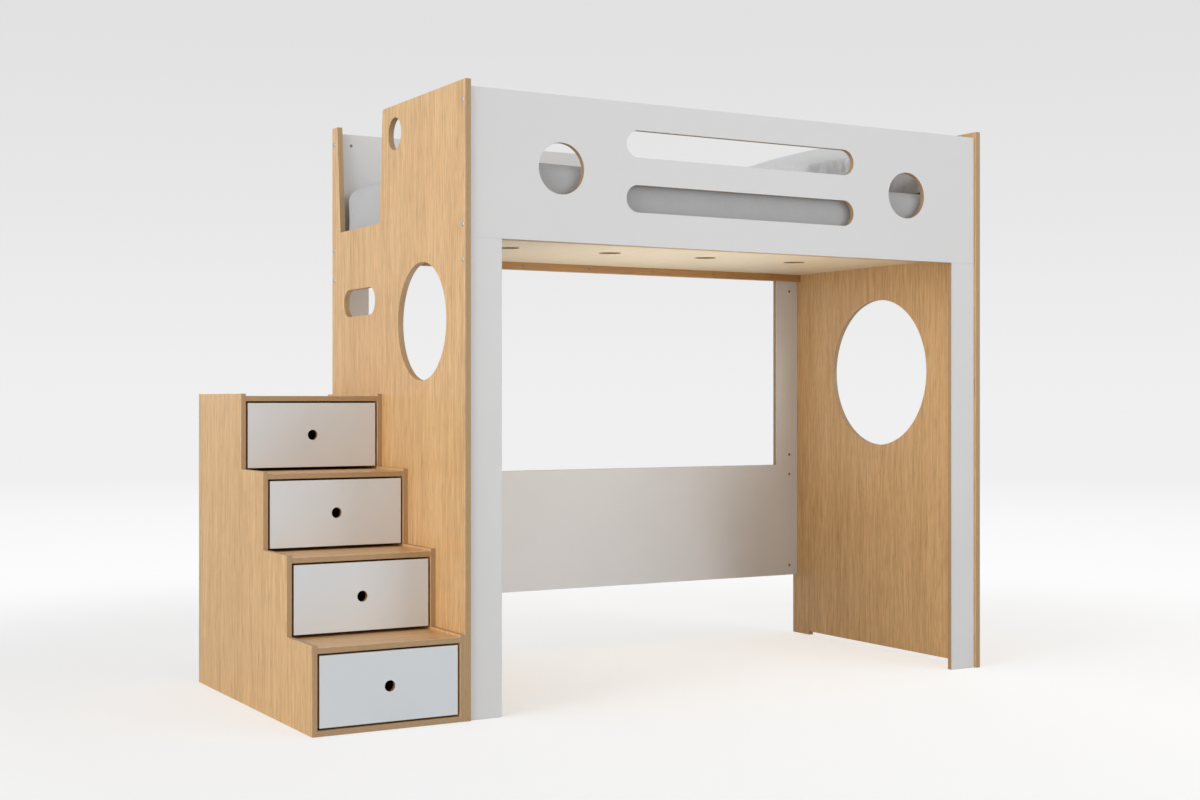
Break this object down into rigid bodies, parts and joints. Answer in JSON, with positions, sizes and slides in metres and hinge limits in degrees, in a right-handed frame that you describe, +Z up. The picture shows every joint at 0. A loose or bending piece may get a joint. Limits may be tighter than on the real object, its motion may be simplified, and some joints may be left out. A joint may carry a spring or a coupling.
{
  "type": "loft bed",
  "caption": "High single bed of oak and white plywood with round cut-outs, a mattress and pillow, and a stair cabinet whose steps hold drawers.",
  "frame": {"origin": "on the floor, in the middle of the whole footprint of bed and stairs", "axes": "+X along the bed, away from the stairs; +Y from the open front to the rear boards; +Z up"},
  "size_m": [2.4006, 1.041, 1.829],
  "materials": {
    "oak_face": "oak veneer on plywood, clear satin lacquer, straight fine grain running up",
    "oak_edge": "cut edge of the oak plywood, thin plies showing, clear satin lacquer",
    "oak_ledger": "solid oak strip, clear satin lacquer",
    "stair_oak": "oak veneer on plywood, clear satin lacquer",
    "white_face": "plywood painted satin white on its faces",
    "white_edge": "unpainted cut edge of the white plywood, clear satin lacquer",
    "birch_platform": "bare pale birch plywood, lightly sanded",
    "birch_drawer": "pale birch plywood, clear satin lacquer",
    "mattress_fabric": "woven grey cotton cover",
    "pillow_fabric": "woven grey cotton case",
    "bolt_steel": "zinc plated, satin",
    "nut_steel": "dark zinc plated, satin",
    "runner_steel": "zinc plated sheet, satin"
  },
  "bodies": {
    "bed": {"barrel_nuts": "nut_steel", "cabinet_runners_1": "runner_steel", "cabinet_runners_2": "runner_steel", "cabinet_runners_3": "runner_steel", "cabinet_runners_4": "runner_steel", "end_panel_bolts": "bolt_steel", "front_guard_rail": "white_face", "front_ledger": "oak_ledger", "front_left_post": "white_face", "front_right_post": "white_face", "left_end_panel": "oak_face", "mattress": "mattress_fabric", "pillow": "pillow_fabric", "platform_board_1": "birch_platform", "platform_board_2": "birch_platform", "platform_board_3": "birch_platform", "platform_board_4": "birch_platform", "platform_board_5": "birch_platform", "rear_guard_board": "white_face", "rear_ledger": "oak_ledger", "rear_left_post": "white_face", "rear_lower_board": "white_face", "rear_right_post": "white_face", "right_end_panel": "oak_face", "stair_back": "stair_oak", "stair_floor": "stair_oak", "stair_joining_bolts": "bolt_steel", "stair_left_side": "stair_oak", "stair_right_side": "stair_oak", "stair_sleeve_nuts": "bolt_steel", "tread_1": "stair_oak", "tread_2": "stair_oak", "tread_3": "stair_oak", "tread_4": "stair_oak"},
    "drawer_1": {"drawer_1_back": "birch_drawer", "drawer_1_bottom": "birch_drawer", "drawer_1_front": "white_face", "drawer_1_left_side": "birch_drawer", "drawer_1_right_side": "birch_drawer", "drawer_1_runners": "runner_steel"},
    "drawer_2": {"drawer_2_back": "birch_drawer", "drawer_2_bottom": "birch_drawer", "drawer_2_front": "white_face", "drawer_2_left_side": "birch_drawer", "drawer_2_right_side": "birch_drawer", "drawer_2_runners": "runner_steel"},
    "drawer_3": {"drawer_3_back": "birch_drawer", "drawer_3_bottom": "birch_drawer", "drawer_3_front": "white_face", "drawer_3_left_side": "birch_drawer", "drawer_3_right_side": "birch_drawer", "drawer_3_runners": "runner_steel"},
    "drawer_4": {"drawer_4_back": "birch_drawer", "drawer_4_bottom": "birch_drawer", "drawer_4_front": "white_face", "drawer_4_left_side": "birch_drawer", "drawer_4_right_side": "birch_drawer", "drawer_4_runners": "runner_steel"}
  },
  "joints": [
    {"name": "drawer_1_slide", "type": "slide", "parent": "bed", "child": "drawer_1", "axis": [0, -1, 0], "range_m": [0, 0.3]},
    {"name": "drawer_2_slide", "type": "slide", "parent": "bed", "child": "drawer_2", "axis": [0, -1, 0], "range_m": [0, 0.3]},
    {"name": "drawer_3_slide", "type": "slide", "parent": "bed", "child": "drawer_3", "axis": [0, -1, 0], "range_m": [0, 0.3]},
    {"name": "drawer_4_slide", "type": "slide", "parent": "bed", "child": "drawer_4", "axis": [0, -1, 0], "range_m": [0, 0.3]}
  ]
}
